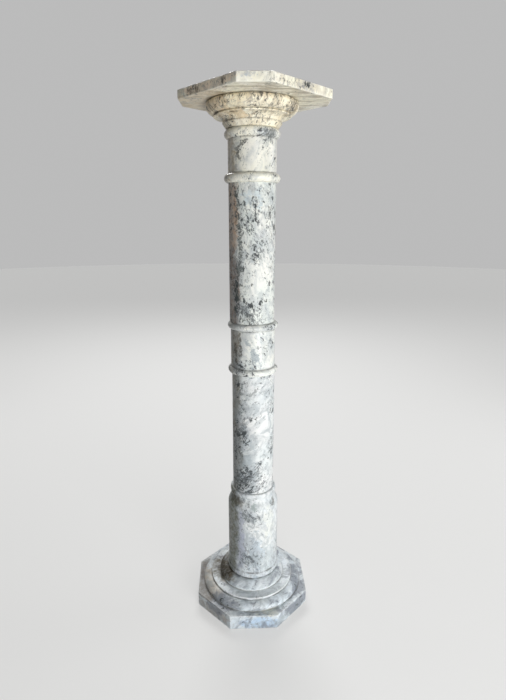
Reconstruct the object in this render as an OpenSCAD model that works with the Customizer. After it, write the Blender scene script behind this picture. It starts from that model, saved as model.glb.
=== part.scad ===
// Turned marble pedestal column: octagonal plinth, stacked shaft pieces, ringed collars,
// round capital and a square top slab with cut corners.
// The pieces are stacked along +Z and meet face to face. The origin is the middle of the
// plinth's underside, and the front flat of the plinth faces -Y.

/* [Base] */
// Plinth width across opposite flats
plinth_w = 243; // [225:1:320]
// Plinth thickness
plinth_h = 33; // [15:1:60]
// Radius of the large round moulding on the plinth
base_torus_r = 110.5; // [100:0.5:112]
// Height of the large round moulding
base_torus_h = 15; // [8:0.5:30]
// Radius of the flat ledge above it
base_ledge_r = 92.5; // [80:0.5:99]
// Thickness of that ledge
base_ledge_h = 4; // [2:0.5:12]
// Radius of the cushion moulding that carries the drum
cushion_r = 73; // [64:0.5:79]
// Height of the cushion moulding
cushion_h = 20; // [10:0.5:40]

/* [Lower drum] */
// Radius of the plain part of the drum
drum_r = 55; // [51:0.5:60]
// Height of the whole drum piece
drum_h = 203.5; // [120:0.5:320]
// Radius of the bead round the drum's foot
foot_bead_r = 57.5; // [56:0.5:63]
// Height of the foot bead
foot_bead_h = 12; // [6:0.5:20]
// Height of the rounded shoulder
shoulder_h = 27; // [12:1:40]
// Radius of the waist above the shoulder
waist_r = 46.7; // [44.8:0.1:49]
// Radius of the bead at the top of the drum
top_bead_r = 49.6; // [49.2:0.1:54]
// Height of the top bead
top_bead_h = 12.5; // [8:0.5:24]

/* [Shaft] */
// Radius of the lower shaft
lower_shaft_r = 44; // [36:0.5:46]
// Length of the lower shaft
lower_shaft_h = 263.5; // [120:0.5:500]
// Radius of the upper shaft
upper_shaft_r = 44.8; // [36:0.1:46]
// Length of the upper shaft
upper_shaft_h = 262; // [120:1:500]

/* [Collars] */
// Radius of the middle collar between its rings
middle_collar_r = 44.9; // [40:0.1:48]
// Height of the middle collar with its rings
middle_collar_h = 106; // [50:1:200]
// Outer radius of the middle collar's rings
middle_ring_r = 50.8; // [50:0.1:60]
// Height of each ring of the middle collar
middle_ring_h = 14; // [8:0.5:20]
// Radius of the upper collar between its rings
upper_collar_r = 45.4; // [40:0.1:48]
// Height of the upper collar with its rings
upper_collar_h = 92.8; // [50:0.2:200]
// Outer radius of the upper collar's lower ring
neck_ring_r = 53; // [50:0.1:60]
// Outer radius of the upper collar's upper ring
head_ring_r = 51.8; // [50:0.1:60]
// Height of each ring of the upper collar
upper_ring_h = 17; // [8:0.5:24]

/* [Capital] */
// Radius of the capital where it meets the upper collar
neck_r = 47.8; // [42:0.1:50]
// Radius at the top of the neck's flare
flare_r = 55.2; // [52:0.1:60]
// Height of the neck's flare
flare_h = 10; // [5:0.5:20]
// Height of the hollow moulding above the flare
cove_h = 9.8; // [5:0.1:20]
// Radius of the fillet above the hollow
cap_fillet_r = 71; // [68:0.5:76]
// Height of that fillet
cap_fillet_h = 3.2; // [1:0.1:8]
// Radius of the foot of the echinus, the round moulding under the slab
echinus_foot_r = 67.5; // [60:0.5:68]
// Widest radius of the echinus
echinus_r = 84; // [78:0.5:100]
// Height of the echinus below its widest point
echinus_h = 15; // [8:0.5:30]
// Radius of the echinus where it meets the slab
echinus_top_r = 77.8; // [70:0.1:83]
// Height of the turned-in lip above the widest point
echinus_lip_h = 7; // [3:0.5:15]

/* [Top slab] */
// Slab width from one cut corner to the opposite one
slab_span = 270.8; // [230:0.2:400]
// Length of each cut corner
slab_cut = 55.6; // [20:0.2:90]
// Slab thickness
slab_h = 15.2; // [8:0.2:40]

/* [Assembly] */
// Sideways offset of the drum and the lower shaft from the plinth's centre
lower_offset = 3; // [0:0.5:5]
// Sideways offset of the middle collar
middle_offset = 2; // [0:0.5:5]
// Sideways offset of the top slab
slab_offset = 4.6; // [0:0.2:8]
// Turn of the slab against the plinth, in degrees
slab_turn = -3; // [-10:0.5:10]

/* [Hidden] */
$fn = 96;
// Straight steps in each quarter curve of a turned profile
curve_steps = 10;

// Height of each joint above the ground
base_top = plinth_h + base_torus_h + base_ledge_h + cushion_h;
drum_top = base_top + drum_h;
lower_shaft_top = drum_top + lower_shaft_h;
middle_collar_top = lower_shaft_top + middle_collar_h;
upper_shaft_top = middle_collar_top + upper_shaft_h;
upper_collar_top = upper_shaft_top + upper_collar_h;
capital_h = flare_h + cove_h + cap_fillet_h + echinus_h + echinus_lip_h;
capital_top = upper_collar_top + capital_h;

// Share of a rounded moulding's height that lies below its widest point
low_share = 0.25;
// How far a rounded moulding draws in again below its widest point
undercut = 1.5;

// Quarter curve between two [radius, height] points: it leaves p level and reaches q upright
function level_to_upright(p, q) = [for (i = [0:curve_steps])
    let (t = 90 * i / curve_steps)
    [p.x + (q.x - p.x) * sin(t), p.y + (q.y - p.y) * (1 - cos(t))]];

// Quarter curve that leaves p upright and reaches q level
function upright_to_level(p, q) = [for (i = [0:curve_steps])
    let (t = 90 * i / curve_steps)
    [p.x + (q.x - p.x) * (1 - cos(t)), p.y + (q.y - p.y) * sin(t)]];

// Rounded moulding from height z, widest at radius r, closing level at radius top_r
function round_moulding(r, top_r, z, h) = concat(
    level_to_upright([r - undercut, z], [r, z + h * low_share]),
    upright_to_level([r, z + h * low_share], [top_r, z + h]));

// S-shaped curve from p up to q, upright at both ends
function s_curve(p, q) = [for (i = [0:2 * curve_steps])
    let (t = 90 * i / curve_steps)
    [(p.x + q.x) / 2 + (p.x - q.x) / 2 * cos(t), p.y + (q.y - p.y) * i / (2 * curve_steps)]];

// Half-oval bead of height h from height z, standing out from radius r to out_r
function bead(r, out_r, z, h) = [for (i = [0:2 * curve_steps])
    let (t = 90 * i / curve_steps)
    [r + (out_r - r) * sin(t), z + h * (1 - cos(t)) / 2]];

// Solid turned from an outline of [radius, height] points listed from the bottom up
module turned(outline) {
    bottom = outline[0].y;
    top = outline[len(outline) - 1].y;
    rotate_extrude()
        polygon(concat([[0, bottom]], outline, [[0, top]]));
}

// Half-round ring whose middle is at height z
module ring(r, h, z) {
    translate([0, 0, z])
        rotate_extrude()
            translate([r - h / 2, 0])
                circle(d = h);
}

// Plain cylinder with a half-round ring at each end
module collar(r, h, ring_h, low_ring_r, high_ring_r) {
    cylinder(r = r, h = h);
    ring(low_ring_r, ring_h, ring_h / 2);
    ring(high_ring_r, ring_h, h - ring_h / 2);
}

module base() {
    torus_top = plinth_h + base_torus_h;
    ledge_top = torus_top + base_ledge_h;
    color("gainsboro") {
        rotate([0, 0, 22.5])
            cylinder(r = plinth_w / 2 / cos(22.5), h = plinth_h, $fn = 8);
        turned(concat(
            round_moulding(base_torus_r, base_ledge_r, plinth_h, base_torus_h),
            [[base_ledge_r, ledge_top]],
            round_moulding(cushion_r, foot_bead_r, ledge_top, cushion_h)));
    }
}

module lower_drum() {
    waist_z = drum_h - top_bead_h;
    color("ghostwhite")
        translate([lower_offset, 0, base_top])
            turned(concat(
                bead(drum_r, foot_bead_r, 0, foot_bead_h),
                s_curve([drum_r, waist_z - shoulder_h], [waist_r, waist_z]),
                bead(waist_r, top_bead_r, waist_z, top_bead_h)));
}

module lower_shaft() {
    color("white")
        translate([lower_offset, 0, drum_top])
            cylinder(r = lower_shaft_r, h = lower_shaft_h);
}

module middle_collar() {
    color("whitesmoke")
        translate([middle_offset, 0, lower_shaft_top])
            collar(middle_collar_r, middle_collar_h, middle_ring_h, middle_ring_r, middle_ring_r);
}

module upper_shaft() {
    color("white")
        translate([0, 0, middle_collar_top])
            cylinder(r = upper_shaft_r, h = upper_shaft_h);
}

module upper_collar() {
    color("whitesmoke")
        translate([0, 0, upper_shaft_top])
            collar(upper_collar_r, upper_collar_h, upper_ring_h, neck_ring_r, head_ring_r);
}

module capital() {
    cove_z = flare_h + cove_h;
    echinus_z = cove_z + cap_fillet_h;
    widest_z = echinus_z + echinus_h;
    color("linen")
        translate([0, 0, upper_collar_top])
            turned(concat(
                [[neck_r, 0], [flare_r, flare_h]],
                upright_to_level([flare_r - undercut, flare_h], [cap_fillet_r, cove_z]),
                [[cap_fillet_r, echinus_z]],
                level_to_upright([echinus_foot_r, echinus_z], [echinus_r, widest_z]),
                upright_to_level([echinus_r, widest_z], [echinus_top_r, capital_h])));
}

module top_slab() {
    // distance from the middle of the slab to its straight sides
    side = (slab_span / 2 + slab_cut / 2) / sqrt(2);
    color("antiquewhite")
        translate([slab_offset, 0, capital_top])
            rotate([0, 0, slab_turn])
                intersection() {
                    translate([0, 0, slab_h / 2])
                        cube([slab_span, slab_span, slab_h], center = true);
                    rotate([0, 0, 45])
                        translate([0, 0, slab_h / 2])
                            cube([2 * side, 2 * side, 2 * slab_h], center = true);
                }
}

base();
lower_drum();
lower_shaft();
middle_collar();
upper_shaft();
upper_collar();
capital();
top_slab();
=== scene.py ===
import math

import bpy
import numpy as np
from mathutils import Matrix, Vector, noise


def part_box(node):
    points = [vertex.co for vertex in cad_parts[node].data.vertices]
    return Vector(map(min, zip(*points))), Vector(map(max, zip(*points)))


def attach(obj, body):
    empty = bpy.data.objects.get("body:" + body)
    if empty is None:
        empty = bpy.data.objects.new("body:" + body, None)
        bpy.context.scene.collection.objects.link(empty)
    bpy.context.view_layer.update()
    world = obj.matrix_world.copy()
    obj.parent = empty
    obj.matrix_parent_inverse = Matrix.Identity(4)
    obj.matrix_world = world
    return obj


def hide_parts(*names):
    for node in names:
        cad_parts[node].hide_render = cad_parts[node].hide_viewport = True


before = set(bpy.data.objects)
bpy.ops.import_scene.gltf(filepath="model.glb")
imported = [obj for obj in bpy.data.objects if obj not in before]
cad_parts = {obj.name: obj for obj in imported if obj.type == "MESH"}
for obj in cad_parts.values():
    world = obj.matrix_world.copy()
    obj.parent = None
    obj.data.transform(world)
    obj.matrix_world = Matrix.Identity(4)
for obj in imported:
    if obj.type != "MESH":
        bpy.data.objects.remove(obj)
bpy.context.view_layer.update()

bpy.ops.object.select_all(action="DESELECT")
print("frame loaded:", len(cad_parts), "pieces")

mm = 0.001
hair = 0.01 * mm  # nearer than this counts as the same place
cornerBend = 24  # degrees; an outline that bends less than this is a curve, not a corner


def pieceFrame(node):
    # the node's axis, its lowest and highest height, and half its width
    low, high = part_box(node)
    centre = Vector(((low[0] + high[0]) / 2, (low[1] + high[1]) / 2, 0))
    return centre, low[2], high[2], (high[0] - low[0]) / 2


def between(first, last, across, up=None):
    # a point part of the way from one point to another
    up = across if up is None else up
    return first[0] + (last[0] - first[0]) * across, first[1] + (last[1] - first[1]) * up


# outlines are lists of (radius, height), drawn from the foot of a piece upwards
def quarterCurve(start, end, levelFirst, count=12):
    # quarter of an oval from one point to another
    points = []
    for i in range(count + 1):
        turn = math.pi / 2 * i / count
        if levelFirst:
            across, up = math.sin(turn), 1 - math.cos(turn)
        else:
            across, up = 1 - math.cos(turn), math.sin(turn)
        points.append(between(start, end, across, up))
    return points


def roundMoulding(radius, topRadius, low, height, undercut=1.5 * mm, lowShare=0.25):
    # large round moulding, widest a quarter of the way up
    middle = low + height * lowShare
    return (quarterCurve((radius - undercut, low), (radius, middle), True, 5)
            + quarterCurve((radius, middle), (topRadius, low + height), False, 16))


def beadCurve(bodyRadius, outRadius, low, height, count=18):
    # half-oval bead between two plain stretches
    points = []
    for i in range(count + 1):
        turn = math.pi * i / count
        points.append(between((bodyRadius, low), (outRadius, low + height),
                              math.sin(turn), (1 - math.cos(turn)) / 2))
    return points


def ringCurve(bodyRadius, outRadius, low, height, count=20):
    # half-round ring, shown where it stands out of the plain body
    tube = height / 2
    reach = outRadius - tube
    points = []
    for i in range(count + 1):
        turn = math.pi * (i / count - 0.5)
        points.append((max(bodyRadius, reach + tube * math.cos(turn)),
                       low + tube + tube * math.sin(turn)))
    return points


def sCurve(start, end, count=24):
    points = []
    for i in range(count + 1):
        turn = math.pi * i / count
        points.append(between(start, end, (1 - math.cos(turn)) / 2, i / count))
    return points


def dropRepeats(points, nearest=0.05 * mm):
    kept = [points[0]]
    for point in points[1:]:
        if math.dist(point, kept[-1]) > nearest:
            kept.append(point)
    return kept


def softenCorners(points, arrisRound, creaseRound, count=4, longest=0.45):
    # rounds each real corner of an outline and lists where the corners are
    points = dropRepeats(points)
    softened, corners = [points[0]], []
    for before, here, after in zip(points, points[1:], points[2:]):
        inX, inZ = here[0] - before[0], here[1] - before[1]
        outX, outZ = after[0] - here[0], after[1] - here[1]
        inLength, outLength = math.hypot(inX, inZ), math.hypot(outX, outZ)
        cross = (inX * outZ - inZ * outX) / (inLength * outLength)
        dot = (inX * outX + inZ * outZ) / (inLength * outLength)
        bend = math.degrees(math.atan2(cross, dot))
        if abs(bend) < cornerBend:
            softened.append(here)
            continue
        corners.append((here[0], here[1], bend))
        size = min(arrisRound if bend > 0 else creaseRound, inLength * longest, outLength * longest)
        start = between(here, before, size / inLength)
        end = between(here, after, size / outLength)
        for i in range(count + 1):
            share = i / count
            softened.append(between(between(start, here, share), between(here, end, share), share))
    softened.append(points[-1])
    return dropRepeats(softened), corners


def closerPoints(points, step):
    closer = [points[0]]
    for here, after in zip(points, points[1:]):
        parts = max(1, math.ceil(math.dist(here, after) / step))
        for i in range(1, parts + 1):
            closer.append(between(here, after, i / parts))
    return closer


def turnPiece(name, outline, centre, steps):
    # a point is drawn along the outline, then the line is spun round the axis
    bpy.ops.object.select_all(action="DESELECT")
    bpy.ops.mesh.primitive_plane_add(size=2 * mm,
                                     location=(centre.x + outline[0][0], centre.y, outline[0][1]))
    piece = bpy.context.object
    piece.name = name
    piece.data.name = name
    bpy.ops.object.transform_apply(location=True, rotation=True, scale=True)
    bpy.ops.object.mode_set(mode="EDIT")
    bpy.ops.mesh.select_all(action="SELECT")
    bpy.ops.mesh.merge(type="CENTER")
    for here, after in zip(outline, outline[1:]):
        move = (after[0] - here[0], 0, after[1] - here[1])
        bpy.ops.mesh.extrude_vertices_move(TRANSFORM_OT_translate={"value": move})
    bpy.ops.mesh.select_all(action="SELECT")
    bpy.ops.mesh.spin(steps=steps, angle=2 * math.pi, center=(centre.x, centre.y, 0), axis=(0, 0, 1))
    bpy.ops.mesh.select_all(action="SELECT")
    bpy.ops.mesh.remove_doubles(threshold=hair)
    bpy.ops.mesh.normals_make_consistent(inside=False)
    bpy.ops.object.mode_set(mode="OBJECT")
    return piece


def vertexArray(piece, what="co"):
    flat = np.empty(len(piece.data.vertices) * 3)
    piece.data.vertices.foreach_get(what, flat)
    return flat.reshape(-1, 3)


def storeVertices(piece, places):
    piece.data.vertices.foreach_set("co", places.reshape(-1))
    piece.data.update()


def storeMark(piece, name, values):
    mark = piece.data.attributes.get(name) or piece.data.attributes.new(name, "FLOAT", "POINT")
    mark.data.foreach_set("value", np.clip(values, 0, 1))


def readMark(piece, name):
    values = np.empty(len(piece.data.vertices))
    piece.data.attributes[name].data.foreach_get("value", values)
    return values


def markCorners(piece, corners, centre, creaseReach, arrisReach, joints):
    # crease mark: dirt and painted shade in the creases and joints; arris mark: where the stone is rubbed,
    # also painted lighter as wear and a painted highlight
    # a joint is (height, radius it starts at, strength)
    places = vertexArray(piece)
    radius = np.hypot(places[:, 0] - centre.x, places[:, 1] - centre.y)
    height = places[:, 2]
    creaseDirtShade = np.zeros(len(places))
    arrisWearHighlight = np.zeros(len(places))
    for cornerRadius, cornerHeight, bend in corners:
        gap = np.hypot(radius - cornerRadius, height - cornerHeight)
        if bend < 0:
            creaseDirtShade = np.maximum(creaseDirtShade, np.exp(-(gap / creaseReach) ** 2))
        else:
            arrisWearHighlight = np.maximum(arrisWearHighlight, np.exp(-(gap / arrisReach) ** 2))
    for jointHeight, jointRadius, strength in joints:
        gap = np.hypot(np.maximum(radius - jointRadius, 0), height - jointHeight)
        creaseDirtShade = np.maximum(creaseDirtShade, strength * np.exp(-(gap / creaseReach) ** 2))
    storeMark(piece, "creaseDirtShade", creaseDirtShade)
    storeMark(piece, "arrisWearHighlight", arrisWearHighlight)


def turnMarked(shape, outline, centre, joints, bare=(), wholeOutline=False):
    # bare: heights whose corners get no mark; wholeOutline: the flat ends get rings of faces too
    outline, corners = softenCorners(outline, shape["arrisRound"], shape["creaseRound"])
    if wholeOutline:
        outline = closerPoints(outline, shape["pointStep"])
    else:
        outline = [outline[0]] + closerPoints(outline[1:-1], shape["pointStep"]) + [outline[-1]]
    piece = turnPiece(shape["name"], outline, centre, shape["steps"])
    corners = [corner for corner in corners if all(abs(corner[1] - height) > 2 * mm for height in bare)]
    markCorners(piece, corners, centre, shape["creaseReach"], shape["arrisReach"], joints)
    return piece


def wearPiece(piece, shape, swayScale=22, chipStart=0.28, chipGain=2.2):
    # slow hand-cut unevenness, rubbed arrises and small chips along them
    places = vertexArray(piece)
    normals = vertexArray(piece, "normal")
    arrisWearHighlight = readMark(piece, "arrisWearHighlight")
    low, high = places[:, 2].min(), places[:, 2].max()
    seed = shape["seed"]
    shift = Vector((seed * 3.7, seed * 1.3, seed * 2.1))
    for i in range(len(places)):
        if places[i, 2] < low + hair or places[i, 2] > high - hair:
            continue
        spot = Vector(places[i])
        push = -shape["sway"] * (0.5 + 0.5 * noise.noise(spot * swayScale + shift))
        if arrisWearHighlight[i] > 0.02:
            bite = max(0.0, noise.noise(spot * shape["chipScale"] + shift) - chipStart)
            push -= arrisWearHighlight[i] * (shape["rub"] + shape["chip"] * bite * chipGain)
        places[i] += normals[i] * push
    storeVertices(piece, places)


def polygonRim(corners, perSide):
    # points along a many-sided rim, perSide[i] of them from corner i to the next
    rim = []
    for i, count in enumerate(perSide):
        here, after = corners[i], corners[(i + 1) % len(corners)]
        for k in range(count):
            rim.append(between(here, after, k / count))
    return rim


def squareRim(piece, centre, rim, roundRadius, rimRadius, topHeight):
    # reshapes the outer part of a round disc to a many-sided outline
    places = vertexArray(piece)
    count = len(rim)
    for i in range(len(places)):
        x, y, z = places[i]
        if z > topHeight + hair:
            continue
        radius = math.hypot(x - centre.x, y - centre.y)
        if radius < hair:
            continue
        angle = math.atan2(y - centre.y, x - centre.x)
        target = rim[round((angle % (2 * math.pi)) / (2 * math.pi) * count) % count]
        share = min(1, max(0, (radius - roundRadius) / (rimRadius - roundRadius)))
        scale = radius / rimRadius
        goalX = centre.x + target[0] * scale
        goalY = centre.y + target[1] * scale
        places[i, 0] = x + (goalX - x) * share
        places[i, 1] = y + (goalY - y) * share
    storeVertices(piece, places)


def makeActive(piece):
    bpy.ops.object.select_all(action="DESELECT")
    piece.select_set(True)
    bpy.context.view_layer.objects.active = piece


def bevelUprights(piece, centre, corners, width, lowHeight, topHeight, nearest=0.4 * mm):
    # softens the upright corner edges of a many-sided block
    makeActive(piece)
    for part in (*piece.data.polygons, *piece.data.vertices):
        part.select = False
    near = set()
    for vertex in piece.data.vertices:
        if lowHeight <= vertex.co.z <= topHeight:
            for x, y in corners:
                if math.hypot(vertex.co.x - (centre.x + x), vertex.co.y - (centre.y + y)) < nearest:
                    near.add(vertex.index)
    for edge in piece.data.edges:
        edge.select = edge.vertices[0] in near and edge.vertices[1] in near
    bpy.ops.object.mode_set(mode="EDIT")
    bpy.ops.mesh.select_mode(type="EDGE")
    bpy.ops.mesh.bevel(offset=width, segments=3, profile=0.5, clamp_overlap=True)
    bpy.ops.mesh.select_mode(type="VERT")
    bpy.ops.object.mode_set(mode="OBJECT")


# a node's input is a plain value or another node's output
def addNode(tree, kind, inputs=None, **settings):
    node = tree.nodes.new(kind)
    for key, value in settings.items():
        setattr(node, key, value)
    for key, value in (inputs or {}).items():
        if isinstance(value, bpy.types.NodeSocket):
            tree.links.new(value, node.inputs[key])
        else:
            node.inputs[key].default_value = value
    return node


def makeGroup(name, draw, inputs, outputs=("Mask",)):
    # an input whose value is a plain number is a number, any other is a vector
    group = bpy.data.node_groups.new(name, "ShaderNodeTree")
    group.interface.new_socket(name="Vector", in_out="INPUT", socket_type="NodeSocketVector")
    for label, value in inputs.items():
        kind = "NodeSocketFloat" if isinstance(value, float) else "NodeSocketVector"
        socket = group.interface.new_socket(name=label, in_out="INPUT", socket_type=kind)
        socket.default_value = value
    for label in outputs:
        group.interface.new_socket(name=label, in_out="OUTPUT", socket_type="NodeSocketFloat")
    entry = group.nodes.new("NodeGroupInput")
    leave = group.nodes.new("NodeGroupOutput")
    for label, drawn in zip(outputs, draw(group, entry.outputs)):
        group.links.new(drawn, leave.inputs[label])
    return group


def useGroup(tree, group, inputs):
    return addNode(tree, "ShaderNodeGroup", inputs, node_tree=group).outputs


def mathNode(tree, operation, first, second=0.0, clamp=False):
    return addNode(tree, "ShaderNodeMath", {0: first, 1: second}, operation=operation,
                   use_clamp=clamp).outputs[0]


def plus(tree, first, second):
    return mathNode(tree, "ADD", first, second)


def times(tree, first, second, clamp=False):
    return mathNode(tree, "MULTIPLY", first, second, clamp)


def vectorMath(tree, operation, first, second=(0, 0, 0)):
    return addNode(tree, "ShaderNodeVectorMath", {0: first, 1: second}, operation=operation).outputs


def rampNode(tree, value, low, high, toLow=0.0, toHigh=1.0):
    node = addNode(tree, "ShaderNodeMapRange", {"Value": value, "From Min": low, "From Max": high,
                                                "To Min": toLow, "To Max": toHigh},
                   interpolation_type="SMOOTHSTEP")
    return node.outputs["Result"]


def noiseNode(tree, vector, scale, detail=4.0, roughness=0.55, distortion=0.0):
    node = addNode(tree, "ShaderNodeTexNoise", {"Vector": vector, "Scale": scale, "Detail": detail,
                                                "Roughness": roughness, "Distortion": distortion})
    return node.outputs[0]


def mixColour(tree, share, first, second):
    inputs = {0: share}
    for index, colour in ((6, first), (7, second)):
        inputs[index] = colour if isinstance(colour, bpy.types.NodeSocket) else (*colour, 1)
    return addNode(tree, "ShaderNodeMix", inputs, data_type="RGBA").outputs[2]


# each shared effect is drawn from its group's inputs and gives a list of masks
def drawClouds(tree, entry):
    # soft patches, 1 inside a patch
    field = plus(tree, noiseNode(tree, entry["Vector"], entry["Scale"], 5, 0.6, 1.2), entry["Lift"])
    return [rampNode(tree, field, entry["Level"], plus(tree, entry["Level"], entry["Softness"]))]


def drawVeins(tree, entry):
    # thin wandering lines that fade in and out
    field = noiseNode(tree, entry["Vector"], entry["Scale"], 6, 0.6, 0.9)
    ridge = mathNode(tree, "ABSOLUTE", mathNode(tree, "SUBTRACT", field, 0.5))
    line = rampNode(tree, ridge, 0.0, entry["Width"], 1.0, 0.0)
    moved = vectorMath(tree, "ADD", entry["Vector"], (0.37, 0.19, 0.53))[0]
    broken = plus(tree, noiseNode(tree, moved, times(tree, entry["Scale"], 2.3), 4, 0.6), entry["Lift"])
    shown = rampNode(tree, broken, entry["Level"], plus(tree, entry["Level"], 0.1))
    return [times(tree, line, shown)]


def drawFlecks(tree, entry):
    # short dark strokes and finer dots that gather in drifts, and a blurred halo
    def finer(share, *values):
        return noiseNode(tree, entry["Vector"], times(tree, entry["Scale"], share), *values)

    def pastLevel(field, low, high, most=1.0):
        return rampNode(tree, plus(tree, field, gathered), plus(tree, entry["Level"], low),
                        plus(tree, entry["Level"], high), 0.0, most)

    drift = noiseNode(tree, entry["Vector"], entry["Drift"], 4, 0.55, 0.6)
    gathered = plus(tree, times(tree, mathNode(tree, "SUBTRACT", drift, 0.5), 0.45), entry["Lift"])
    strokes = noiseNode(tree, entry["Vector"], entry["Scale"], 3, 0.7, 0.5)
    depth = rampNode(tree, finer(0.3, 2), 0.34, 0.54, 0.5, 1.0)
    shown = times(tree, pastLevel(strokes, 0.0, 0.1), depth)
    dotted = pastLevel(finer(2.1, 2, 0.6, 0.6), 0.045, 0.12, 0.75)
    around = plus(tree, times(tree, finer(0.42, 2, 0.5, 0.7), 0.55), times(tree, strokes, 0.45))
    return [mathNode(tree, "MAXIMUM", shown, dotted), pastLevel(around, -0.07, 0.09)]


def drawGrimeAndShade(tree, entry):
    # dirt and painted shade in the creases and joints, uneven along their length
    creaseDirtShade = addNode(tree, "ShaderNodeAttribute", attribute_name="creaseDirtShade").outputs["Fac"]
    patchy = rampNode(tree, noiseNode(tree, entry["Vector"], entry["Scale"], 4, 0.6), 0.36, 0.6, 0.15, 1.0)
    return [times(tree, times(tree, creaseDirtShade, patchy), entry["Amount"], True)]


def drawSpot(tree, entry):
    # 1 at one place on the piece, falling to 0 at its reach
    away = vectorMath(tree, "SUBTRACT", entry["Vector"], entry["Place"])[0]
    scaled = vectorMath(tree, "DIVIDE", away, entry["Reach"])[0]
    near = rampNode(tree, vectorMath(tree, "LENGTH", scaled)["Value"], 0.0, 1.3, 1.0, 0.0)
    return [times(tree, near, entry["Strength"])]


def drawStroke(tree, entry):
    # 1 along a wavering line between two places, 0 past its width
    waver = addNode(tree, "ShaderNodeTexNoise", {"Vector": entry["Vector"], "Scale": 45.0, "Detail": 3.0})
    swing = vectorMath(tree, "SUBTRACT", waver.outputs["Color"], (0.5, 0.5, 0.5))[0]
    swing = vectorMath(tree, "MULTIPLY", swing, (14 * mm, 14 * mm, 14 * mm))[0]
    moved = vectorMath(tree, "ADD", entry["Vector"], swing)[0]
    away = vectorMath(tree, "SUBTRACT", moved, entry["Start"])[0]
    share = mathNode(tree, "DIVIDE", vectorMath(tree, "DOT_PRODUCT", away, entry["Along"])["Value"],
                     vectorMath(tree, "DOT_PRODUCT", entry["Along"], entry["Along"])["Value"], True)
    reached = addNode(tree, "ShaderNodeVectorMath", {0: entry["Along"], "Scale": share},
                      operation="SCALE").outputs[0]
    gap = vectorMath(tree, "DISTANCE", away, reached)["Value"]
    near = rampNode(tree, mathNode(tree, "DIVIDE", gap, entry["Width"]), 0.0, 1.3, 1.0, 0.0)
    return [times(tree, near, entry["Strength"])]


def drawPatch(tree, entry):
    # gives placed spots and strokes a ragged edge and an uneven middle
    field = mathNode(tree, "SUBTRACT", noiseNode(tree, entry["Vector"], entry["Scale"], 7, 0.68, 0.9), 0.5)
    filled = plus(tree, entry["Spots"], times(tree, field, entry["Break"]))
    ragged = rampNode(tree, filled, 0.4, plus(tree, entry["Softness"], 0.4))
    mask = times(tree, ragged, rampNode(tree, entry["Spots"], 0.02, 0.2))
    fine = noiseNode(tree, entry["Vector"], times(tree, entry["Scale"], 2.7), 4, 0.65, 0.5)
    mask = times(tree, mask, rampNode(tree, fine, 0.34, 0.6, 0.6, 1.0))
    return [times(tree, mask, entry["Amount"])]


cloudGroup = makeGroup("stoneClouds", drawClouds, {"Scale": 16.0, "Level": 0.5, "Softness": 0.15,
                                                   "Lift": 0.0})
veinGroup = makeGroup("stoneVeins", drawVeins, {"Scale": 12.0, "Width": 0.03, "Level": 0.5, "Lift": 0.0})
fleckGroup = makeGroup("stoneFlecks", drawFlecks, {"Scale": 120.0, "Drift": 14.0, "Level": 0.62, "Lift": 0.0},
                       ("Mask", "Halo"))
grimeShadeGroup = makeGroup("creaseGrimeAndShade", drawGrimeAndShade, {"Scale": 60.0, "Amount": 0.8})
spotGroup = makeGroup("placedSpot", drawSpot, {"Place": (0, 0, 0), "Reach": (0.02, 0.02, 0.02),
                                               "Strength": 1.0})
strokeGroup = makeGroup("placedStroke", drawStroke, {"Start": (0, 0, 0), "Along": (0, 0, 0.01), "Width": 0.01,
                                                     "Strength": 1.0})
patchGroup = makeGroup("brokenPatch", drawPatch, {"Spots": 0.0, "Scale": 60.0, "Break": 1.5, "Softness": 0.3,
                                                  "Amount": 1.0})
print("shared effects ready")


def spotSum(tree, vector, node, spots):
    # a spot is (turn in degrees from the front, out, up, wide, tall in mm, strength)
    # a stroke is (turn, up, to turn, to up, out, width, strength)
    centre, low, _, _ = pieceFrame(node)

    def placeAt(turn, out, up):
        angle = math.radians(turn)
        return Vector((centre.x + out * mm * math.sin(angle), centre.y - out * mm * math.cos(angle),
                       low + up * mm))

    total = None
    for spot in spots:
        if len(spot) == 6:
            turn, out, up, wide, tall, strength = spot
            mask = useGroup(tree, spotGroup, {"Vector": vector, "Place": placeAt(turn, out, up),
                                              "Reach": (wide * mm, wide * mm, tall * mm),
                                              "Strength": strength})["Mask"]
        else:
            turn, up, lastTurn, lastUp, out, width, strength = spot
            start = placeAt(turn, out, up)
            mask = useGroup(tree, strokeGroup, {"Vector": vector, "Start": start, "Width": width * mm,
                                                "Along": placeAt(lastTurn, out, lastUp) - start,
                                                "Strength": strength})["Mask"]
        total = mask if total is None else plus(tree, total, mask)
    return 0.0 if total is None else total


def patch(colour, spots, amount=0.8, scale=60.0, breaking=4.5, soft=0.4):
    # one placed stain or tint; breaking makes its edge more ragged
    return {"colour": colour, "spots": spots,
            "edge": {"Amount": amount, "Scale": scale, "Break": breaking, "Softness": soft}}


def patchMask(tree, place, node, placed):
    spots = spotSum(tree, place, node, placed["spots"])
    return useGroup(tree, patchGroup, {"Vector": place, "Spots": spots, **placed["edge"]})["Mask"]


def soffitStreaks(tree, place, colour, look):
    # long level streaks that run across the underside and wrap over the edge
    drawn = addNode(tree, "ShaderNodeMapping", {"Vector": place, "Scale": (0.16, 1.0, 0.5),
                                                "Rotation": (0, 0, math.radians(look["streakTurn"]))})
    lines = noiseNode(tree, drawn.outputs["Vector"], look["streakScale"], 4, 0.62, 0.7)
    facing = addNode(tree, "ShaderNodeSeparateXYZ",
                     {0: addNode(tree, "ShaderNodeNewGeometry").outputs["Normal"]}).outputs["Z"]
    shown = times(tree, rampNode(tree, lines, 0.49, 0.64), rampNode(tree, facing, -0.5, -0.9))
    shown = times(tree, shown, look["streakAmount"])
    return mixColour(tree, shown, colour, look["streakColour"])


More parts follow.
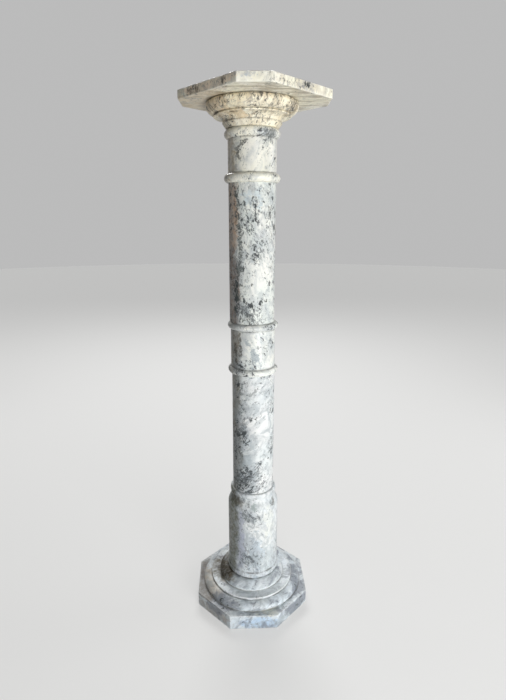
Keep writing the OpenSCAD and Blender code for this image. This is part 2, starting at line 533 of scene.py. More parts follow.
# marble values that a piece keeps unless its own dictionary changes them
plainMarble = {
    "white": (0.70, 0.73, 0.71), "secondWhite": (0.76, 0.77, 0.73), "wanderScale": 14.0,
    "shift": (0.0, 0.0, 0.0), "tip": 0, "lean": -15, "long": 1.7,  # how the bedding lies, in degrees
    "cloudScale": 24.0, "cloudLevel": 0.47, "cloudSoftness": 0.2, "cloudAmount": 0.45,
    "cloudColour": (0.40, 0.44, 0.47),
    "veinScale": 15.0, "veinWidth": 0.018, "veinLevel": 0.50, "veinAmount": 0.5,
    "veinColour": (0.16, 0.17, 0.19),
    "fleckScale": 150.0, "fleckDrift": 26.0, "fleckLevel": 0.55, "fleckAmount": 0.96,
    "fleckColour": (0.03, 0.036, 0.038), "haloAmount": 0.4, "haloColour": (0.33, 0.375, 0.395),
    "grainScale": 620.0, "grainAmount": 0.14, "grainColour": (0.93, 0.94, 0.92),
    "mottleScale": 60.0, "mottleAmount": 0.5,
    "grimeShadeScale": 55.0, "grimeShadeAmount": 0.8, "grimeShadeColour": (0.085, 0.08, 0.065),
    "arrisWearHighlightAmount": 0.3, "arrisWearHighlightColour": (0.84, 0.85, 0.82),
    "roughness": 0.43, "dirtShadeRoughness": 0.35, "fleckDullness": 0.35, "unevenScale": 45.0,
    "bumpStrength": 0.2, "bumpDepth": 1.5 * mm,
    "cloudLift": 0.09, "veinLift": 0.08, "fleckLift": 0.036,  # how strongly a drift gathers each of them
    "streakAmount": 0.0, "drifts": (), "tints": (), "stains": (),
}


def makeMarble(look):
    node = look["node"]
    material = bpy.data.materials.new(look["name"].replace("Piece", "Marble"))
    material.use_nodes = True
    tree = material.node_tree
    tree.nodes.clear()
    place = tree.nodes.new("ShaderNodeTexCoord").outputs["Object"]
    bedding = addNode(tree, "ShaderNodeMapping",
                      {"Vector": place, "Location": look["shift"], "Scale": (1, 1, look["long"]),
                       "Rotation": (math.radians(look["tip"]), math.radians(look["lean"]), 0)},
                      vector_type="TEXTURE").outputs["Vector"]
    drifts = spotSum(tree, place, node, look["drifts"])

    def spread(group, kind, *labels):
        # fills the group's inputs from the values named after the kind
        inputs = {label: look[kind + label] for label in labels}
        lift = times(tree, drifts, look[kind + "Lift"])
        return useGroup(tree, group, {"Vector": bedding, "Lift": lift, **inputs})

    def laid(under, mask, kind):
        # lays the kind's colour over what is under it
        return mixColour(tree, times(tree, mask, look[kind + "Amount"]), under, look[kind + "Colour"])

    # ground: white that warms and cools in soft patches
    wander = rampNode(tree, noiseNode(tree, bedding, look["wanderScale"], 4, 0.55, 0.6), 0.36, 0.64)
    colour = mixColour(tree, wander, look["white"], look["secondWhite"])
    # placed tints: the stone's own colours, plus painted shade, warm painted reflections and a painted
    # highlight on some pieces
    for tint in look["tints"]:
        colour = mixColour(tree, patchMask(tree, place, node, tint), colour, tint["colour"])

    # fine crystal grain and small mottling
    grain = noiseNode(tree, place, look["grainScale"], 2, 0.6)
    grain = rampNode(tree, grain, 0.4, 0.7, 0.0, look["grainAmount"])
    colour = mixColour(tree, grain, colour, look["grainColour"])
    mottle = noiseNode(tree, bedding, look["mottleScale"], 4, 0.6, 1.2)
    mottle = rampNode(tree, mottle, 0.42, 0.68, 0.0, look["mottleAmount"])
    colour = mixColour(tree, mottle, colour, look["haloColour"])
    if look["streakAmount"] > 0:
        colour = soffitStreaks(tree, place, colour, look)

    # grey clouds, veins, then flecks in their halos
    clouds = spread(cloudGroup, "cloud", "Scale", "Level", "Softness")
    colour = laid(colour, clouds["Mask"], "cloud")
    veins = spread(veinGroup, "vein", "Scale", "Width", "Level")
    colour = laid(colour, veins["Mask"], "vein")
    flecks = spread(fleckGroup, "fleck", "Scale", "Drift", "Level")
    colour = laid(colour, flecks["Halo"], "halo")
    colour = laid(colour, flecks["Mask"], "fleck")

    # crease dirt and painted shade, stains, and arrises painted lighter as wear and a painted highlight
    dirtAndShade = useGroup(tree, grimeShadeGroup, {"Vector": place, "Scale": look["grimeShadeScale"],
                                       "Amount": look["grimeShadeAmount"]})["Mask"]
    colour = mixColour(tree, dirtAndShade, colour, look["grimeShadeColour"])
    for stain in look["stains"]:
        mask = patchMask(tree, place, node, stain)
        colour = mixColour(tree, mask, colour, stain["colour"])
        dirtAndShade = mathNode(tree, "MAXIMUM", dirtAndShade, mask)
    # rubbed arrises painted lighter: wear and a painted highlight along the edges
    arrisWearHighlight = addNode(tree, "ShaderNodeAttribute", attribute_name="arrisWearHighlight").outputs["Fac"]
    colour = laid(colour, arrisWearHighlight, "arrisWearHighlight")

    # polish: duller over the crease dirt and shade, the stains and the flecks
    dull = mathNode(tree, "MAXIMUM", dirtAndShade, times(tree, flecks["Mask"], look["fleckDullness"]))
    uneven = noiseNode(tree, place, look["unevenScale"], 4)
    polish = rampNode(tree, uneven, 0.3, 0.7, look["roughness"] - 0.05, look["roughness"] + 0.07)
    roughness = plus(tree, times(tree, dull, look["dirtShadeRoughness"]), polish)
    height = mathNode(tree, "SUBTRACT", times(tree, uneven, 0.5), times(tree, dull, 0.4))
    bump = addNode(tree, "ShaderNodeBump", {"Height": height, "Strength": look["bumpStrength"],
                                            "Distance": look["bumpDepth"]})
    shader = addNode(tree, "ShaderNodeBsdfPrincipled",
                     {"Base Color": colour, "Roughness": roughness, "Normal": bump.outputs["Normal"],
                      "IOR": 1.4, "Coat Weight": 0.04, "Coat Roughness": 0.2,
                      "Subsurface Weight": 0.05, "Subsurface Radius": (0.6, 0.5, 0.4),
                      "Subsurface Scale": 5 * mm})
    ending = tree.nodes.new("ShaderNodeOutputMaterial")
    tree.links.new(shader.outputs[0], ending.inputs["Surface"])
    return material


def finishPiece(piece, shape, smoothAngle=32):
    node = shape["node"]
    makeActive(piece)
    bpy.ops.object.shade_smooth_by_angle(angle=math.radians(smoothAngle))
    piece.data.materials.clear()
    piece.data.materials.append(makeMarble(shape))
    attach(piece, "root")
    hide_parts(node)
    print(node, "modelled:", len(piece.data.polygons), "faces")


# each piece's dictionary holds its sizes, its wear and its marble
base = {
    **plainMarble, "node": "base", "name": "basePiece",
    "plinthHeight": 33 * mm, "plinthWidth": 243 * mm, "uprightBevel": 1.1 * mm,
    "torusRadius": 110.5 * mm, "torusHeight": 15 * mm, "ledgeRadius": 92.5 * mm, "ledgeHeight": 4 * mm,
    "cushionRadius": 73 * mm, "seatRadius": 57.5 * mm,
    "steps": 256, "pointStep": 1.3 * mm, "arrisRound": 1.2 * mm, "creaseRound": 0.4 * mm,
    "creaseReach": 2.2 * mm, "arrisReach": 2.0 * mm,
    "sway": 0.10 * mm, "rub": 0.15 * mm, "chip": 1.4 * mm, "chipScale": 140, "seed": 1,
    "shift": (0.3, 0.1, 0.2), "lean": 35, "long": 1.3,
    "white": (0.66, 0.73, 0.78), "secondWhite": (0.75, 0.79, 0.80),
    "cloudScale": 26.0, "cloudLevel": 0.49, "cloudSoftness": 0.14, "cloudAmount": 0.75,
    "cloudColour": (0.19, 0.21, 0.25), "fleckLevel": 0.65, "fleckScale": 130.0, "haloAmount": 0.5,
    "veinAmount": 0.7, "veinScale": 17.0, "grimeShadeAmount": 0.65, "mottleScale": 45.0,
    "mottleAmount": 0.55,
    "drifts": ((-34, 100, 40, 40, 25, 1.2), (70, 100, 36, 35, 25, 3.0), (2, 96, 46, 14, 12, 1.2),
               (22, 108, 40, 14, 14, 1.2), (-40, 66, 60, 22, 18, 1.0), (52, 122, 16, 40, 18, 3.0),
               # this drift clears clouds off the ledge, as part of its painted highlight
               (-10, 50, 52, 110, 6, -1.8)),
    "tints": (
        # ledge painted paler: a painted highlight along the ledge
        patch((0.84, 0.89, 0.92), ((-20, 40, 51.5, 150, 6, 1.8),), 0.85, 40, 2.5),
        patch((0.42, 0.47, 0.49), ((0, 0, 63, 120, 15, 1.3),), 0.6, 60, 3.0, 0.8),
        patch((0.46, 0.62, 0.80), ((6, 121, 15, 58, 22, 1.5),), 0.85, 50, 2.6, 0.6),
        patch((0.66, 0.66, 0.54), ((16, 118, 33, 40, 6, 1.0),), 0.6, 40, 2.5),
        # plinth face on the right painted darker grey: painted shade
        patch((0.26, 0.30, 0.32), ((46, 122, 14, 80, 24, 1.5),), 0.8, 55, 3.5, 0.8),
        patch((0.58, 0.50, 0.39), ((-58, 104, 42, 50, 16, 1.3), (-88, 104, 42, 44, 14, 1.2)), 0.8, 35, 3.0),
        patch((0.38, 0.34, 0.30), ((-45, 122, 14, 70, 18, 1.2),), 0.8, 35, 3.0),
        # right of the cushion painted darker grey: painted shade
        patch((0.42, 0.46, 0.48), ((48, 70, 66, 44, 16, 1.5), (16, 70, 62, 40, 8, 1.0)),
              0.7, 55, 3.0, 0.7)),
    "stains": (
        patch((0.24, 0.21, 0.18), ((-72, 122, 33, 66, 8, 1.4), (-105, 122, 33, 60, 8, 1.3)),
              0.85, 45, 3.0, 0.8),
        patch((0.13, 0.10, 0.05), ((-62, 66, 66, 38, 22, 1.7), (-100, 74, 60, 50, 24, 1.6)),
              0.92, 40, 3.0, 0.9),
        patch((0.03, 0.022, 0.01), ((-64, 63, 68, 30, 18, 1.6), (-95, 68, 62, 36, 18, 1.4)),
              0.92, 80, 3.6, 0.9),
        patch((0.16, 0.18, 0.22), ((-38, 20, -20, 52, 105, 11, 0.8), (-2, 50, 12, 40, 100, 8, 0.8),
                                   (20, 52, 30, 40, 105, 8, 0.8), (45, 40, 62, 34, 110, 12, 0.8)),
              0.7, 80, 4.0, 0.7)),
}


def modelBase(shape):
    # octagonal plinth with turned mouldings
    centre, low, high, _ = pieceFrame(shape["node"])
    flat = shape["plinthWidth"] / 2
    plinthTop = low + shape["plinthHeight"]
    torusTop = plinthTop + shape["torusHeight"]
    ledgeTop = torusTop + shape["ledgeHeight"]
    outline = [(0, low), (flat, low), (flat, plinthTop)]
    outline += roundMoulding(shape["torusRadius"], shape["ledgeRadius"], plinthTop, shape["torusHeight"])
    outline += [(shape["ledgeRadius"], ledgeTop)]
    outline += roundMoulding(shape["cushionRadius"], shape["seatRadius"], ledgeTop, high - ledgeTop)
    outline += [(0, high)]
    piece = turnMarked(shape, outline, centre, [(high, shape["seatRadius"], 1.0)])
    sides = 8
    halfAngle = math.pi / sides
    cornerReach = flat / math.cos(halfAngle)
    angles = [halfAngle * (2 * k + 1) for k in range(sides)]
    corners = [(cornerReach * math.cos(angle), cornerReach * math.sin(angle)) for angle in angles]
    perSide = shape["steps"] // sides
    rim = polygonRim(corners, [perSide] * sides)
    rim = rim[-perSide // 2:] + rim[:-perSide // 2]  # so that it starts at the middle of a side
    squareRim(piece, centre, rim, shape["torusRadius"] - 1 * mm, flat, plinthTop)
    wearPiece(piece, shape)
    bevelUprights(piece, centre, corners, shape["uprightBevel"], low, plinthTop)
    return piece


finishPiece(modelBase(base), base)

drum = {
    **plainMarble, "node": "lower_drum", "name": "lowerDrumPiece",
    "radius": 55 * mm, "footRadius": 57.5 * mm, "footHeight": 12 * mm,
    "shoulderHeight": 27 * mm, "waistRadius": 46.7 * mm, "beadRadius": 49.6 * mm, "beadHeight": 12.5 * mm,
    "steps": 192, "pointStep": 1.9 * mm, "arrisRound": 0.7 * mm, "creaseRound": 0.3 * mm,
    "creaseReach": 1.8 * mm, "arrisReach": 1.5 * mm,
    "sway": 0.12 * mm, "rub": 0.05 * mm, "chip": 0.4 * mm, "chipScale": 160, "seed": 2,
    "shift": (0.9, 0.4, 0.1), "lean": -25, "long": 1.4,
    "white": (0.68, 0.73, 0.76), "secondWhite": (0.75, 0.77, 0.76),
    "fleckLevel": 0.575, "fleckAmount": 0.7, "mottleScale": 70.0, "mottleAmount": 0.55,
    "drifts": ((-12, 55, 158, 20, 24, 2.4), (-5, 55, 60, 26, 50, 1.4), (-45, 55, 190, 22, 16, 1.8),
               (50, 52, 178, 12, 8, 1.6), (45, 55, 25, 14, 14, 1.6), (40, 55, 120, 34, 60, -3.0)),
    "tints": (
        patch((0.78, 0.79, 0.68), ((38, 55, 130, 20, 60, 1.2),), 0.35, 50, 3.0),
        patch((0.36, 0.385, 0.50), ((-36, 55, 90, 24, 100, 1.3),), 0.8, 40, 2.5),
        # left side darker: partly the stone's own olive-brown, partly painted shade
        patch((0.12, 0.125, 0.07), ((-70, 55, 105, 42, 170, 1.5),), 0.95, 40, 1.2),
        patch((0.40, 0.50, 0.58), ((2, 55, 58, 26, 64, 1.1),), 0.7, 70),
        # lower right of the drum painted darker grey: painted shade, darker towards the foot
        patch((0.50, 0.56, 0.575), ((36, 55, 40, 40, 56, 1.3),), 0.75, 55, 3.0, 0.7)),
    "stains": (
        patch((0.11, 0.10, 0.075), ((-66, 190, -38, 182, 53, 17, 1.4), (50, 176, 62, 182, 53, 7, 1.2)),
              0.85, 60, 3.6, 0.9),
        patch((0.24, 0.30, 0.29), ((0, 53, 178, 11, 18, 1.3),), 0.75, 80)),
}


def modelDrum(shape):
    centre, low, high, _ = pieceFrame(shape["node"])
    waist = high - shape["beadHeight"]
    shoulder = (shape["radius"], waist - shape["shoulderHeight"])
    outline = [(0, low)]
    outline += beadCurve(shape["radius"], shape["footRadius"], low, shape["footHeight"])
    outline += sCurve(shoulder, (shape["waistRadius"], waist))
    outline += beadCurve(shape["waistRadius"], shape["beadRadius"], waist, shape["beadHeight"])
    outline += [(0, high)]
    piece = turnMarked(shape, outline, centre, [(low, 0, 1.0), (high, 0, 0.8)], bare=(waist,))
    wearPiece(piece, shape)
    return piece


finishPiece(modelDrum(drum), drum)

# both shafts are turned alike; only the seed and the marble differ
plainShaft = {
    **plainMarble, "steps": 192, "pointStep": 2.2 * mm, "arrisRound": 0.8 * mm, "creaseRound": 0.3 * mm,
    "creaseReach": 1.6 * mm, "arrisReach": 1.5 * mm, "sway": 0.14 * mm, "rub": 0, "chip": 0, "chipScale": 100,
}


def modelShaft(shape):
    centre, low, high, radius = pieceFrame(shape["node"])
    outline = [(0, low), (radius, low), (radius, high), (0, high)]
    piece = turnMarked(shape, outline, centre, [(low, 0, 1.0), (high, 0, 0.9)], bare=(low, high))
    wearPiece(piece, shape)
    return piece


lowerShaft = {
    **plainShaft, "node": "lower_shaft", "name": "lowerShaftPiece", "seed": 3,
    "shift": (1.3, 0.2, 0.7), "lean": 48, "long": 1.8,
    "white": (0.69, 0.73, 0.73), "secondWhite": (0.77, 0.78, 0.77), "roughness": 0.48,
    "fleckLevel": 0.555, "fleckAmount": 0.9, "mottleScale": 50.0, "mottleAmount": 0.65,
    "drifts": ((-30, 44, 140, 18, 26, 1.8), (-18, 44, 30, 34, 38, 2.4), (-50, 44, 200, 18, 70, 1.4),
               (-55, 44, 80, 20, 80, 1.4), (-20, 44, 228, 18, 12, 1.0), (35, 44, 150, 26, 60, -1.6),
               (30, 44, 70, 20, 40, -1.0)),
    "tints": (
        patch((0.42, 0.49, 0.52), ((-15, 44, 70, 24, 60, 1.1), (-30, 44, 140, 20, 40, 0.7)), 0.7, 45),
        # left side darker: partly the stone's own brown, partly painted shade
        patch((0.12, 0.115, 0.085), ((-70, 44, 90, 36, 150, 1.5),), 0.92, 40, 1.6),
        patch((0.22, 0.20, 0.14), ((-70, 44, 220, 34, 90, 1.4),), 0.88, 40, 1.6)),
    "stains": (
        patch((0.22, 0.24, 0.24), ((-40, 228, -12, 222, 44, 5, 0.7), (-12, 222, 4, 234, 44, 4, 0.7),
                                   (-48, 205, -18, 216, 44, 4, 0.6)), 0.7, 90),),
}
finishPiece(modelShaft(lowerShaft), lowerShaft)

plainCollar = {
    **plainMarble, "steps": 192, "pointStep": 1.4 * mm, "arrisRound": 0.5 * mm, "creaseRound": 0.4 * mm,
    "creaseReach": 1.7 * mm, "arrisReach": 1.2 * mm,
    "sway": 0.10 * mm, "rub": 0.05 * mm, "chip": 0.3 * mm, "chipScale": 160,
}


def modelCollar(shape):
    # short cylinder with a half-round ring at each end
    centre, low, high, _ = pieceFrame(shape["node"])
    tall = shape["ringHeight"]
    outline = [(0, low)]
    outline += ringCurve(shape["body"], shape["lowRing"], low, tall)
    outline += ringCurve(shape["body"], shape["highRing"], high - tall, tall)
    outline += [(0, high)]
    piece = turnMarked(shape, outline, centre, [(low, 0, 0.9), (high, 0, 0.9)])
    wearPiece(piece, shape)
    return piece


middleCollar = {
    **plainCollar, "node": "middle_collar", "name": "middleCollarPiece", "seed": 4,
    "body": 44.9 * mm, "ringHeight": 14 * mm, "lowRing": 50.8 * mm, "highRing": 50.8 * mm,
    "shift": (1.9, 0.6, 0.3), "lean": -40, "long": 1.6, "fleckLevel": 0.58,
    "grimeShadeAmount": 0.6, "white": (0.74, 0.77, 0.74), "secondWhite": (0.80, 0.80, 0.74),
    "drifts": ((-40, 50, 100, 24, 12, 1.0), (-35, 47, 16, 20, 14, 2.8), (40, 50, 99, 22, 10, 1.0),
               (50, 45, 65, 10, 20, 1.2), (-10, 46, 92, 14, 6, 1.8)),
    "tints": (
        # left side darker: partly the stone's own brown, partly painted shade
        patch((0.14, 0.11, 0.07), ((-70, 45, 53, 34, 100, 1.5),), 0.92, 40, 1.6),
        patch((0.90, 0.90, 0.84), ((10, 10, 7, 160, 10, 1.6), (10, 10, 99, 160, 10, 1.6)), 0.7, 40, 2.0)),
    "stains": (
        patch((0.30, 0.35, 0.38), ((-18, 72, 6, 40, 45, 7, 0.75), (6, 40, 22, 24, 45, 8, 0.75),
                                   (-4, 48, -2, 22, 45, 8, 0.75)), 0.85, 120, 5.0, 0.6),
        patch((0.07, 0.065, 0.055), ((-37, 86, -34, 44, 45, 5, 0.9), (-55, 60, -48, 24, 45, 6, 0.8)),
              0.9, 150, 4.0)),
}
finishPiece(modelCollar(middleCollar), middleCollar)

upperShaft = {
    **plainShaft, "node": "upper_shaft", "name": "upperShaftPiece", "seed": 5,
    "shift": (2.3, 1.1, 0.4), "lean": -14, "long": 1.6,
    "white": (0.75, 0.78, 0.73), "secondWhite": (0.82, 0.82, 0.77), "roughness": 0.5,
    "fleckLevel": 0.55, "fleckScale": 155.0, "mottleScale": 70.0,
    "drifts": ((-22, 45, 210, 30, 45, 1.0), (-30, 45, 120, 12, 50, 1.4), (20, 45, 160, 26, 30, 0.8),
               (-18, 45, 26, 30, 22, 1.2), (-40, 45, 30, 16, 40, 1.4), (25, 45, 95, 26, 45, -1.6),
               (25, 45, 215, 16, 30, -1.0), (0, 45, 80, 30, 30, -0.6)),
    "tints": (
        # left side warmer and darker: partly the stone's own pinkish-brown, partly painted shade with a warm
        # painted reflection
        patch((0.56, 0.38, 0.25), ((-66, 45, 205, 30, 110, 1.5),), 0.97, 40, 1.6),
        patch((0.20, 0.12, 0.075), ((-64, 45, 50, 30, 120, 1.6),), 0.97, 40, 1.8),
        patch((0.54, 0.64, 0.69), ((-12, 45, 238, 18, 24, 0.9), (16, 45, 232, 12, 28, 1.0)), 0.7, 55)),
    "stains": (
        patch((0.06, 0.075, 0.07), ((-33, 182, -31, 108, 45, 9, 0.85), (-36, 110, -46, 20, 45, 8, 0.75),
                                    (-40, 250, -36, 190, 45, 8, 0.7)), 0.9, 130, 5.0, 0.5),),
}
finishPiece(modelShaft(upperShaft), upperShaft)

upperCollar = {
    **plainCollar, "node": "upper_collar", "name": "upperCollarPiece", "seed": 6,
    "body": 45.4 * mm, "ringHeight": 17 * mm, "lowRing": 53 * mm, "highRing": 51.8 * mm,
    "shift": (2.9, 0.8, 1.2), "lean": 30, "long": 1.5, "fleckLevel": 0.605,
    "grimeShadeAmount": 0.65, "roughness": 0.24, "white": (0.80, 0.79, 0.68),
    "secondWhite": (0.83, 0.82, 0.75), "cloudAmount": 0.3, "mottleAmount": 0.35,
    "drifts": ((-28, 45, 58, 10, 14, 1.6), (20, 50, 84, 24, 10, 3.0), (45, 50, 82, 20, 12, 2.8),
               (-12, 45, 42, 8, 14, 1.6), (38, 45, 25, 12, 8, 2.0), (60, 45, 40, 10, 25, 1.0),
               (-10, 52, 8, 16, 8, 2.0), (48, 52, 8, 12, 8, 2.0)),
    "tints": (
        patch((0.95, 0.92, 0.78), ((0, 10, 8, 160, 12, 1.6), (-60, 30, 84, 90, 12, 1.8)), 0.85, 40, 2.0),
        # left side darker and warmer: partly the stone's own brown, partly painted shade with a warm painted
        # reflection
        patch((0.40, 0.31, 0.18), ((-74, 45, 46, 30, 90, 1.4),), 0.85, 60, 2.4),
        patch((0.50, 0.56, 0.60), ((22, 50, 84, 22, 9, 1.1),), 0.65, 70)),
    "stains": (
        patch((0.09, 0.09, 0.08), ((-14, 70, -40, 56, 45, 5, 0.9), (-40, 56, -38, 46, 45, 6, 0.85),
                                   (-38, 46, -30, 38, 45, 4, 0.7)), 0.9, 140, 4.5),
        patch((0.30, 0.31, 0.31), ((-44, 60, -40, 20, 45, 6, 0.7), (10, 74, 24, 70, 45, 4, 0.7)),
              0.65, 90)),
}
finishPiece(modelCollar(upperCollar), upperCollar)

capital = {
    **plainMarble, "node": "capital", "name": "capitalPiece",
    "neck": 47.8 * mm, "flare": 55.2 * mm, "flareHeight": 10 * mm, "coveHeight": 9.8 * mm,
    "stepIn": 1.5 * mm, "fillet": 71 * mm, "filletHeight": 3.2 * mm,
    "echinusFoot": 67.5 * mm, "echinus": 84 * mm, "echinusHeight": 15 * mm, "echinusTop": 77.8 * mm,
    "steps": 224, "pointStep": 1.1 * mm, "arrisRound": 1.5 * mm, "creaseRound": 0.6 * mm,
    "creaseReach": 1.5 * mm, "arrisReach": 1.4 * mm,
    "sway": 0.15 * mm, "rub": 0.2 * mm, "chip": 1.0 * mm, "chipScale": 160, "seed": 7,
    "shift": (3.4, 0.5, 0.9), "lean": 12, "long": 2.2,
    "white": (0.92, 0.85, 0.64), "secondWhite": (0.93, 0.89, 0.75), "cloudAmount": 0.4,
    "cloudColour": (0.58, 0.47, 0.31), "cloudLevel": 0.47, "haloColour": (0.50, 0.43, 0.31),
    "fleckLevel": 0.565, "fleckScale": 170.0, "fleckAmount": 0.85, "mottleScale": 75.0,
    "mottleAmount": 0.55, "arrisWearHighlightAmount": 0.0, "grimeShadeAmount": 0.6,
    "drifts": ((0, 82, 42, 60, 7, 2.2), (30, 80, 34, 34, 18, 0.8), (60, 76, 28, 24, 20, 2.0),
               (-50, 76, 30, 30, 18, 1.0)),
    "tints": (
        # left side warmer and darker: partly the stone's own tan, partly painted shade with a warm painted
        # reflection
        patch((0.72, 0.56, 0.34), ((-60, 78, 30, 56, 30, 1.3), (-20, 60, 14, 20, 10, 0.9)), 0.8, 60),),
    "stains": (
        patch((0.13, 0.10, 0.06), ((-45, 34, 0, 24, 76, 7, 0.6), (-40, 24, -14, 14, 66, 5, 0.6),
                                   (4, 18, 6, 10, 60, 6, 0.6), (-60, 30, -40, 44, 80, 8, 0.6),
                                   (-30, 42, 40, 44, 82, 6, 0.7), (48, 40, 74, 30, 80, 8, 0.7)),
              0.9, 130, 5.0, 0.6),
        patch((0.30, 0.24, 0.15), ((-70, 22, 70, 30, 76, 16, 0.7),), 0.7, 90, 4.5, 0.6)),
}


def modelCapital(shape):
    # flare, hollow, fillet and echinus
    centre, low, high, _ = pieceFrame(shape["node"])
    flareTop = low + shape["flareHeight"]
    coveTop = flareTop + shape["coveHeight"]
    filletTop = coveTop + shape["filletHeight"]
    widest = (shape["echinus"], filletTop + shape["echinusHeight"])
    outline = [(0, low), (shape["neck"], low), (shape["flare"], flareTop)]
    coveFoot = (shape["flare"] - shape["stepIn"], flareTop)
    outline += quarterCurve(coveFoot, (shape["fillet"], coveTop), False, 16)
    outline += [(shape["fillet"], filletTop)]
    outline += quarterCurve((shape["echinusFoot"], filletTop), widest, True, 16)
    outline += quarterCurve(widest, (shape["echinusTop"], high), False, 12)
    outline += [(0, high)]
    # the shelf at the echinus foot gets crease dirt and painted shade
    shelf = (filletTop, shape["echinusFoot"], 0.5)
    piece = turnMarked(shape, outline, centre, [(low, 0, 1.0), (high, 0, 1.0), shelf])
    wearPiece(piece, shape)
    return piece


finishPiece(modelCapital(capital), capital)

slab = {
    **plainMarble, "node": "top_slab", "name": "topSlabPiece",
    "span": 270.8 * mm, "cut": 55.6 * mm, "turn": -3.0, "uprightBevel": 1.0 * mm,
    "steps": 256, "cutSteps": 17, "sideSteps": 47,  # four cuts and four sides add up to the steps
    "pointStep": 2.6 * mm, "arrisRound": 1.1 * mm, "creaseRound": 1.1 * mm,
    "creaseReach": 2.6 * mm, "arrisReach": 2.2 * mm, "seatDirtShade": 3.0 * mm,
    "sway": 0.10 * mm, "rub": 0.12 * mm, "chip": 1.2 * mm, "chipScale": 120, "seed": 8,
    "shift": (4.1, 1.7, 0.6), "lean": 8, "long": 1.4, "fleckLevel": 0.62,
    "fleckScale": 130.0, "white": (0.95, 0.91, 0.73), "secondWhite": (0.96, 0.94, 0.83),
    "cloudAmount": 0.45, "cloudColour": (0.56, 0.48, 0.35), "arrisWearHighlightColour": (0.94, 0.93, 0.86),
    "haloColour": (0.45, 0.44, 0.38),
    "streakAmount": 0.75, "streakScale": 95.0, "streakTurn": -3, "streakColour": (0.34, 0.28, 0.17),
    "drifts": ((44, 119, 8, 30, 14, 4.0), (-26, 119, 9, 10, 12, 4.0), (-62, 118, 8, 16, 12, 3.0),
               (18, 128, 8, 10, 12, 2.0)),
    "tints": (
        # left face warm pinkish-beige: partly the stone's own colour, partly a painted warm reflection; left
        # of the underside darker: painted shade
        patch((1.0, 0.83, 0.63), ((-45, 122, 10, 84, 14, 1.6),), 0.95, 35, 1.6),
        patch((0.62, 0.50, 0.33), ((-85, 105, 0, 110, 5, 1.6),), 0.9, 35, 1.6),
        patch((0.36, 0.41, 0.48), ((44, 119, 8, 28, 16, 1.2), (-8, 134, 11, 17, 8, 1.3)),
              0.75, 90, 5.0, 0.7)),
    "stains": (
        patch((0.13, 0.10, 0.07), ((-26, 119, 9, 10, 16, 1.0), (-60, 118, 6, 16, 12, 0.9),
                                   (-68, 125, 6, 12, 10, 0.9)), 0.85, 110, 4.5, 0.6),
        patch((0.24, 0.26, 0.30), ((36, 16, 40, 2, 122, 5, 0.9), (40, 4, 50, 12, 120, 5, 0.9),
                                   (20, 16, 21, 0, 130, 4, 0.9)), 0.8, 110, 4.0, 0.6)),
}


def modelSlab(shape):
    # square with cut corners, turned a little off the base
    centre, low, high, _ = pieceFrame(shape["node"])
    reach, half = shape["span"] / 2, shape["cut"] / 2
    corners = []
    for k in range(4):
        angle = math.radians(shape["turn"]) + math.pi / 2 * k
        for x, y in ((reach, -half), (reach, half)):
            corners.append((x * math.cos(angle) - y * math.sin(angle),
                            x * math.sin(angle) + y * math.cos(angle)))
    outline = [(0, low), (reach, low), (reach, high), (0, high)]
    piece = turnMarked(shape, outline, centre, [], wholeOutline=True)
    rim = polygonRim(corners, [shape["cutSteps"], shape["sideSteps"]] * 4)
    squareRim(piece, centre, rim, 0.0, reach, high)

    # dirt and painted shade gather round the capital on the underside
    places = vertexArray(piece)
    seat = pieceFrame("capital")[0]
    away = np.hypot(places[:, 0] - seat.x, places[:, 1] - seat.y) - capital["echinusTop"]
    under = places[:, 2] < low + 0.3 * mm
    dirtAndShade = np.exp(-(np.maximum(away, 0) / shape["seatDirtShade"]) ** 2)
    storeMark(piece, "creaseDirtShade", np.where(under, dirtAndShade, 0))
    wearPiece(piece, shape)
    bevelUprights(piece, centre, corners, shape["uprightBevel"], low, high)
    return piece


finishPiece(modelSlab(slab), slab)

studio = {
    "floorRadius": 9, "floorColour": (0.36, 0.36, 0.355), "floorRoughness": 0.75,
    "glowColour": (1, 1, 0.99), "floorGlow": 0.45,  # glow is only what the camera and gloss see
    "ambient": 0.105, "backdrop": 0.50,
    "softboxes": {  # place, aimed at, width, height, watts
        "keySoftbox": ((1.0, -1.75, 0.85), (0, 0, 0.65), 1.3, 1.3, 16),
        "lowSoftbox": ((0.65, -1.3, 0.2), (0, -0.05, 1.05), 0.9, 0.3, 17),
        "rightSoftbox": ((1.7, 0.4, 0.9), (0, 0, 0.6), 0.7, 1.2, 6),
        "backSoftbox": ((-0.1, 2.2, 2.5), (0, 0, 0.5), 1.8, 1.0, 58),
        "leftSoftbox": ((-1.5, 0.85, 0.85), (0, 0, 0.6), 0.06, 1.1, 1.0),
    },
}


def seenRays(tree):
    rays = tree.nodes.new("ShaderNodeLightPath")
    seen = mathNode(tree, "MAXIMUM", rays.outputs["Is Camera Ray"], rays.outputs["Is Transmission Ray"])
    return mathNode(tree, "MAXIMUM", seen, rays.outputs["Is Glossy Ray"])


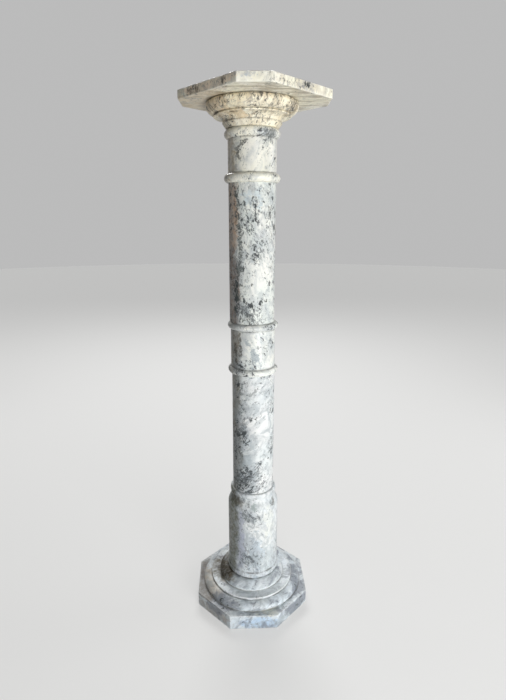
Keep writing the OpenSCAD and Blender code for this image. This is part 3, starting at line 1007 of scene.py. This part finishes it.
def makeFloor():
    bpy.ops.object.select_all(action="DESELECT")
    bpy.ops.mesh.primitive_circle_add(vertices=96, radius=studio["floorRadius"], fill_type="NGON")
    floor = bpy.context.object
    floor.name = "studioFloor"
    material = bpy.data.materials.new("studioFloorPaint")
    material.use_nodes = True
    tree = material.node_tree
    shader = tree.nodes["Principled BSDF"]
    shader.inputs["Base Color"].default_value = (*studio["floorColour"], 1)
    shader.inputs["Roughness"].default_value = studio["floorRoughness"]
    shader.inputs["Emission Color"].default_value = (*studio["glowColour"], 1)
    tree.links.new(times(tree, seenRays(tree), studio["floorGlow"]), shader.inputs["Emission Strength"])
    floor.data.materials.append(material)


def makeWorld():
    world = bpy.data.worlds.new("studioWorld")
    bpy.context.scene.world = world
    world.use_nodes = True
    tree = world.node_tree
    tree.nodes.clear()
    brighter = times(tree, seenRays(tree), studio["backdrop"] - studio["ambient"])
    light = addNode(tree, "ShaderNodeBackground",
                    {"Color": (1, 1, 1, 1), "Strength": plus(tree, brighter, studio["ambient"])})
    ending = tree.nodes.new("ShaderNodeOutputWorld")
    tree.links.new(light.outputs[0], ending.inputs["Surface"])


def makeSoftbox(name, place, target, width, height, watts):
    light = bpy.data.lights.new(name, "AREA")
    light.shape = "RECTANGLE"
    light.size = width
    light.size_y = height
    light.energy = watts
    lamp = bpy.data.objects.new(name, light)
    bpy.context.scene.collection.objects.link(lamp)
    lamp.location = place
    lamp.rotation_euler = (Vector(target) - Vector(place)).to_track_quat("-Z", "Y").to_euler()


makeFloor()
makeWorld()
for softbox, values in studio["softboxes"].items():
    makeSoftbox(softbox, *values)

cameraView = {"place": (-37.5 * mm, -938.9 * mm, 838.9 * mm), "down": 15.22, "heading": -1.93,
              "lens": 24.34, "sensor": 36.0, "sideShift": 0.0056}


def makeCamera():
    view = bpy.data.cameras.new("frontCamera")
    view.sensor_fit = "AUTO"
    view.sensor_width = cameraView["sensor"]
    view.lens = cameraView["lens"]
    view.shift_x = cameraView["sideShift"]
    camera = bpy.data.objects.new("frontCamera", view)
    bpy.context.scene.collection.objects.link(camera)
    camera.location = cameraView["place"]
    camera.rotation_euler = (math.radians(90 - cameraView["down"]), 0, math.radians(cameraView["heading"]))
    bpy.context.scene.camera = camera


makeCamera()
bpy.context.scene.view_settings.view_transform = "Standard"
print("studio ready")
